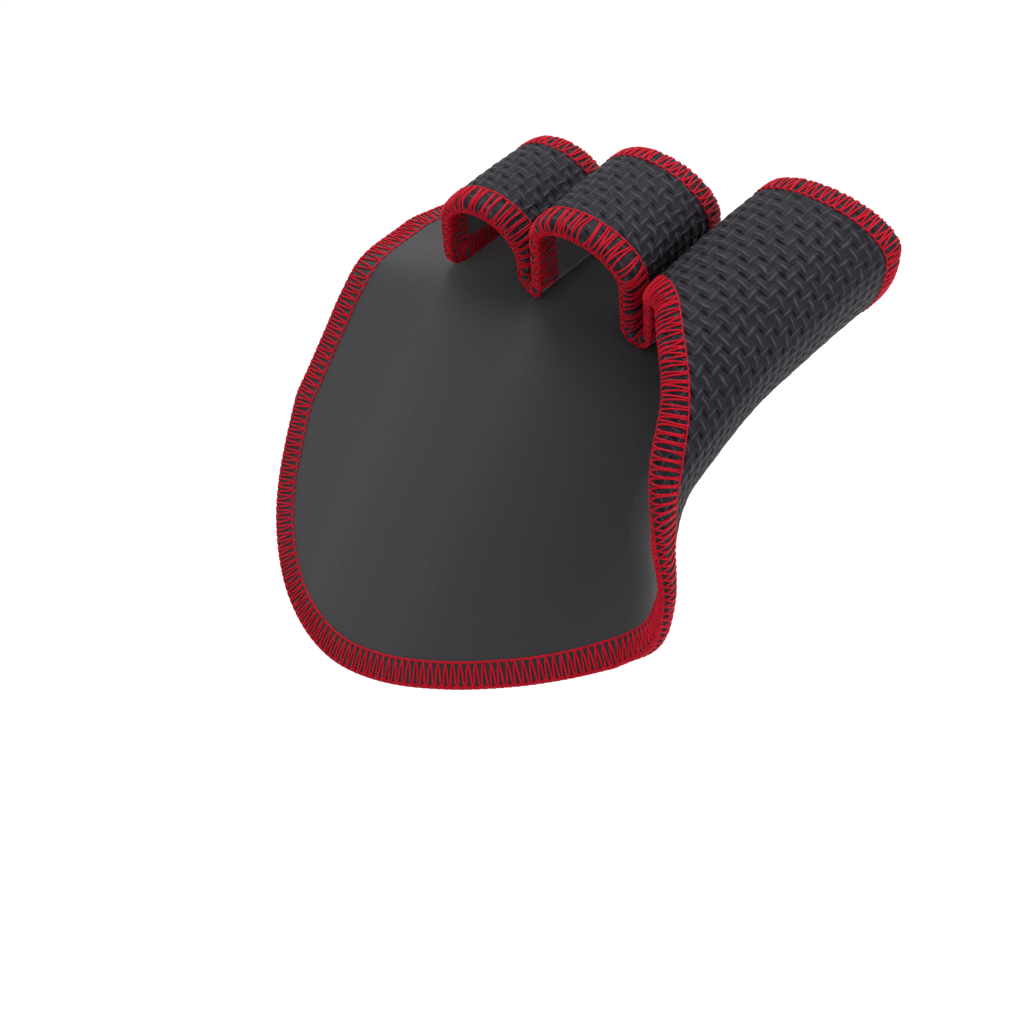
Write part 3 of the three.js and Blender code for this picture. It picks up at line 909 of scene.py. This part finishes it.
def threadPiece(name, paths, radius, material, closed=True):
    curve = bpy.data.curves.new(name, "CURVE")
    curve.dimensions = "3D"
    curve.bevel_depth = radius * mm
    curve.bevel_resolution = stitch["sides"]
    curve.use_fill_caps = not closed
    for path in paths:
        spline = curve.splines.new("POLY")
        spline.points.add(len(path) - 1)
        flat = np.concatenate([path * mm, np.ones((len(path), 1))], 1)
        spline.points.foreach_set("co", flat.ravel())
        spline.use_cyclic_u = closed
        spline.use_smooth = True
    drawn = bpy.data.objects.new(name + "Curve", curve)
    bpy.context.collection.objects.link(drawn)
    bpy.context.view_layer.update()
    mesh = bpy.data.meshes.new_from_object(drawn.evaluated_get(bpy.context.evaluated_depsgraph_get()))
    mesh.name = name
    bpy.data.objects.remove(drawn)
    mesh.materials.clear()
    # the thread's own UV map: millimetres along it, as on its first path, and once round it
    steps = np.linalg.norm(np.diff(paths[0], axis=0, append=paths[0][:1]), axis=1)
    lengthAt = np.concatenate([[0], np.cumsum(steps)])
    corners = np.empty(len(mesh.loops) * 2, np.float32)
    mesh.uv_layers[0].uv.foreach_get("vector", corners)
    corners[::2] = np.interp(corners[::2], np.linspace(0, 1, len(lengthAt)), lengthAt)
    mesh.uv_layers[0].uv.foreach_set("vector", corners)
    mesh.uv_layers[0].name = "twist"
    bm = bmesh.new()
    bm.from_mesh(mesh)
    bmesh.ops.recalc_face_normals(bm, faces=bm.faces[:])
    bm.to_mesh(mesh)
    bm.free()
    piece = addPiece(name, mesh, [material])
    print(name + ":", 2 * len(mesh.polygons), "triangles")
    return piece


# One stitch of each looper: distance from the rail, height over the sheet's middle, and how far its two
# strands lie from the stitch's own middle, in stitches
upperLoop = table(
    distance=[-0.05, 0.35, 1.2, 2.2, 3.1, 3.92, 4.54, 4.9, 5.05, 5.1, 5.08, 4.9, 4.6],
    height=[1.42, 1.56, 1.57, 1.54, 1.47, 1.27, 0.92, 0.47, -0.03, -0.5, -0.95, -1.3, -1.5],
    pairs=[0.12, 0.13, 0.11, 0.1, 0.1, 0.11, 0.14, 0.18, 0.25, 0.34, 0.4, 0.3, 0.2],
    zigzag=[0.05, 0.1, 0.18, 0.27, 0.36, 0.43, 0.46, 0.48, 0.49, 0.48, 0.42, 0.32, 0.22],
    rungs=[0.26, 0.15, 0.08, 0.06, 0.06, 0.08, 0.15, 0.3, 0.48, 0.46, 0.26, 0.1, 0.08],
)
lowerLoop = table(
    distance=[5.0, 4.7, 3.8, 2.4, 1.0, 0.0],
    height=[-1.25, -1.52, -1.58, -1.58, -1.58, -1.48],
    pairs=[0.1, 0.14, 0.2, 0.28, 0.38, 0.46],
    zigzag=[0.1, 0.14, 0.2, 0.28, 0.38, 0.46],
    rungs=[0.1, 0.14, 0.2, 0.28, 0.38, 0.46],
)


def looper(rows):
    # all of one looper's thread: out and back again for each stitch, half way between the needle's holes
    steps = len(rows["distance"])
    number = np.arange(stitchCount)[:, None] + 0.5
    rungs = np.interp(number, phase, closedRungs)
    loose = dice.normal(0, stitch["loose"], stitchCount + 2)
    loose = np.convolve(loose, stitch["neighbours"], "valid")[:, None]
    parted, least = stitch["zigzag"]
    zigzag = np.interp(number, phase, closedZigzag)
    zigzag = np.clip(zigzag * parted + least + loose, 0, 1) * (1 - rungs)
    spread = rows["rungs"] * rungs + rows["zigzag"] * zigzag + rows["pairs"] * (1 - rungs - zigzag)
    sway = np.sin(np.linspace(0, np.pi, steps))
    steady = 1 - rungs[:, None] * stitch["steadyRungs"]
    wander = dice.normal(0, stitch["jitter"], (stitchCount, 2, 1)) * steady * sway
    lean = dice.normal(0, stitch["lean"], (stitchCount, 1)) * (1 - rungs) * sway
    slack = dice.normal(0, stitch["slack"], (stitchCount, 2, 1)) * sway
    out = number - spread + wander[:, 0] + lean
    back = number + spread + wander[:, 1] + lean
    at = np.concatenate([out, back[:, ::-1]], 1)
    distance = np.concatenate([rows["distance"], rows["distance"][::-1]])
    height = np.concatenate([rows["height"], rows["height"][::-1]])
    height = height + np.concatenate([slack[:, 0], slack[:, 1]], 1) * np.sign(height)
    return threadPoints(at.ravel(), np.tile(distance, stitchCount), height.ravel())


upperLooper = threadPiece("upperLooperThread", [looper(upperLoop)], stitch["radius"], redThread)
lowerLooper = threadPiece("lowerLooperThread", [looper(lowerLoop)], stitch["radius"], redThread)

# The needle's thread on both faces: distance and height at its holes, and what is added between them
needle = {
    "radius": 0.187,
    "points": 6,
    "top": {"distance": (-0.12, 0.12), "height": (1.42, 0.26)},
    "under": {"distance": (-0.12, -0.1), "height": (-1.4, -0.28)},
}


def needleRow(face):
    at = np.arange(stitchCount * needle["points"]) / needle["points"]
    dip = np.abs(np.sin(np.pi * at))
    (distance, aside), (height, rise) = needle[face]["distance"], needle[face]["height"]
    return threadPoints(at, distance + aside * dip, height + rise * dip)


needleRows = [needleRow("top"), needleRow("under")]
needleThread = threadPiece("needleThread", needleRows, needle["radius"], redThread)

# Two strands that twine on the cut edge, once a stitch: middle and swing of their distance and height
purl = {"points": 10, "sway": 0.14, "distance": (4.97, 0.26), "height": (-1.0, -0.42)}


def purlStrand(start):
    at = np.arange(stitchCount * purl["points"]) / purl["points"]
    turn = 2 * np.pi * at
    (distance, out), (height, rise) = purl["distance"], purl["height"]
    return threadPoints(
        at + purl["sway"] * np.sin(2 * turn + start),
        distance + out * np.cos(turn + start),
        height + rise * np.sin(turn + start),
    )


purlStrands = [purlStrand(0), purlStrand(np.pi)]
purlChain = threadPiece("purlChainThread", purlStrands, stitch["radius"], redThread)
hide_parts("overlock_edging")
print("overlock:", stitchCount, "stitches")

# Seams that hold the strap to the pad: under both valleys and along the strap's sewn end
seam = {
    "stitch": 2.4,
    "margin": 7.0,
    "radius": 0.2,
    "over": 0.1,  # how far the running stitch stands off the strap
    "under": 0.12,
    "bite": 1.0,
    "climb": 1.9,
    "wallGap": 0.3,
    "pull": 0.2,
    "throw": (0.6, 0, 0.2),
}


def seamStations():
    count = int((strap - 2 * seam["margin"]) / seam["stitch"])
    return seam["margin"] + np.arange(count + 1) * seam["stitch"]


def valleySeam(valleyLine):
    # running stitch from the strap's valley down through the pad
    at = seamStations()
    top = valleyLine(0 * at + 0.5, at) + np.array([0, 0, half + seam["over"]])
    below = pad(top[:, 0], top[:, 1]) - upAt(at) * (half + seam["under"])
    path = []
    for k in range(len(at)):
        path += [top[k], below[k]] if k % 2 else [below[k], top[k]]
    return np.array(path) - seat


def endSeam():
    # whipped over the strap's sewn end into the pad beside it
    at = seamStations()
    low, high = strapEnd(at), strapEnd(at + seam["stitch"] / 2)
    padPlace = pad(low[:, 0] - half - seam["bite"], low[:, 1]) + upAt(at) * half
    padTop = padPlace + upAt(at) * seam["radius"] + np.array([seam["pull"], 0, 0])
    wallPlace = high + np.array([-half - seam["wallGap"], 0, seam["climb"] - band])
    wallTop = wallPlace + np.array(seam["throw"])
    return np.stack([padPlace, padTop, wallPlace, wallTop], 1).reshape(-1, 3) - seat


seamPaths = [valleySeam(ringValley), valleySeam(indexValley), endSeam()]
seams = threadPiece("strapSeams", seamPaths, seam["radius"], blackThread, closed=False)

widest = (runLength + 2 * band) * mm
longest = float((nearRail[:, 1].min() * -1 + strap + band) * mm)

# Studio
studio = {
    "floorDrop": 0.42,
    "floorSize": 8.0,
    "floor": {"Base Color": (0.97, 0.97, 0.97, 1), "Roughness": 0.9},
    "world": 0.74,
    "softboxes": {
        "keySoftbox": {"place": (-0.35, 0.35, 0.75), "size": 0.35, "power": 6.0},
        "fillSoftbox": {"place": (0.75, 0.1, 0.3), "size": 0.45, "power": 2.5},
        "rimSoftbox": {"place": (0.1, 0.85, 0.3), "size": 0.4, "power": 1.0},
    },
}


def floorMaterial():
    m = Nodes("paleFloor")
    m.feed(m.shader, studio["floor"])
    return m.material


bm = bmesh.new()
bmesh.ops.create_grid(bm, x_segments=1, y_segments=1, size=studio["floorSize"] / 2)
bmesh.ops.translate(bm, verts=bm.verts, vec=(0, 0, cadBox[0][2] - studio["floorDrop"]))
floorMesh = bpy.data.meshes.new("floor")
bm.to_mesh(floorMesh)
bm.free()
floor = bpy.data.objects.new("floor", floorMesh)
floor.data.materials.append(floorMaterial())
bpy.context.collection.objects.link(floor)

world = bpy.data.worlds.new("studio")
world.use_nodes = True
world.node_tree.nodes["Background"].inputs["Color"].default_value = (1, 1, 1, 1)
world.node_tree.nodes["Background"].inputs["Strength"].default_value = studio["world"]
bpy.context.scene.world = world


def addSoftbox(name, softbox):
    light = bpy.data.lights.new(name, "AREA")
    light.size = softbox["size"]
    light.energy = softbox["power"]
    box = bpy.data.objects.new(name, light)
    box.location = softbox["place"]
    box.rotation_euler = (-Vector(softbox["place"])).to_track_quat("-Z", "Y").to_euler()
    bpy.context.collection.objects.link(box)


for name, softbox in studio["softboxes"].items():
    addSoftbox(name, softbox)

# Camera, as the photo was taken: turn and tilt in degrees, distance in millimetres
view = {
    "turn": 41.696,
    "tilt": 48.144,
    "roll": -4.971,
    "distance": 509.44,
    "aim": (-12.2626, -53.5417),
    "lens": 93.38,
    "clipStart": 0.01,
}
a, e, r = (math.radians(view[key]) for key in ("turn", "tilt", "roll"))
forward = Vector((-math.sin(a) * math.cos(e), math.cos(a) * math.cos(e), -math.sin(e)))
level = Vector((math.cos(a), math.sin(a), 0))
rise = level.cross(forward)
right = level * math.cos(r) + rise * math.sin(r)
up = rise * math.cos(r) - level * math.sin(r)
aimed = right * view["aim"][0] + up * view["aim"][1] - forward * view["distance"] - Vector(seat)
camera = bpy.data.objects.new("camera", bpy.data.cameras.new("camera"))
camera.data.lens = view["lens"]
camera.data.clip_start = view["clipStart"]
turned = Matrix((right, up, -forward)).transposed().to_4x4()
camera.matrix_world = Matrix.Translation(aimed * mm) @ turned
bpy.context.collection.objects.link(camera)
bpy.context.scene.camera = camera
bpy.context.scene.view_settings.view_transform = "Standard"
